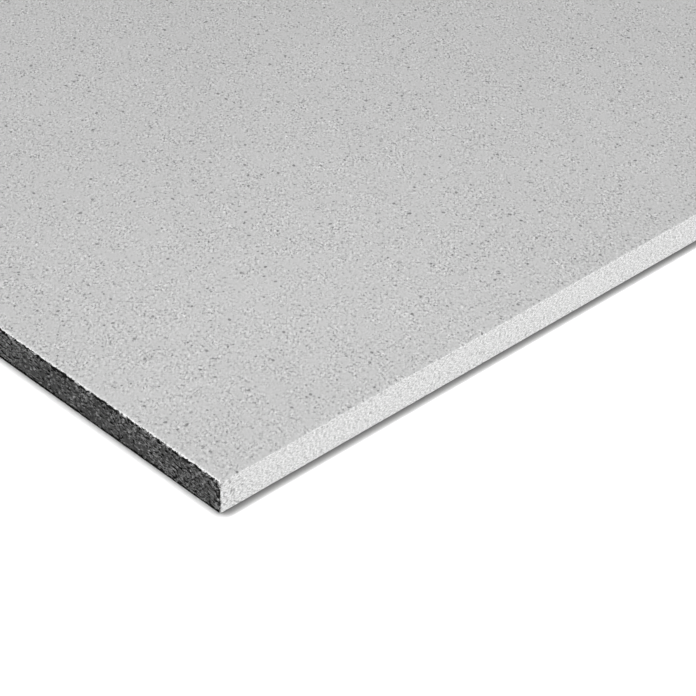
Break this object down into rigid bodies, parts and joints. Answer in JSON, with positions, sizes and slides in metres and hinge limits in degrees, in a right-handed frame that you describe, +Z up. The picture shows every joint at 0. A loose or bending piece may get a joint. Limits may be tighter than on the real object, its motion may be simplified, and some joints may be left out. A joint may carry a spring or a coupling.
{
  "type": "gypsum fibreboard sheet",
  "caption": "Flat rectangular sheet of paperless gypsum fibreboard, a drywall board with square sawn edges and lightly eased arrises.",
  "frame": {"origin": "middle of the sheet's underside, where it lies on a level floor", "axes": "+X along the sheet's length, +Y along its width, +Z up through its thickness, out of the upper face"},
  "size_m": [1.5, 1, 0.0125],
  "materials": {
    "gypsum_fibreboard": "matte"
  },
  "bodies": {
    "root": {"fibreboard_sheet": "gypsum_fibreboard"}
  },
  "joints": []
}
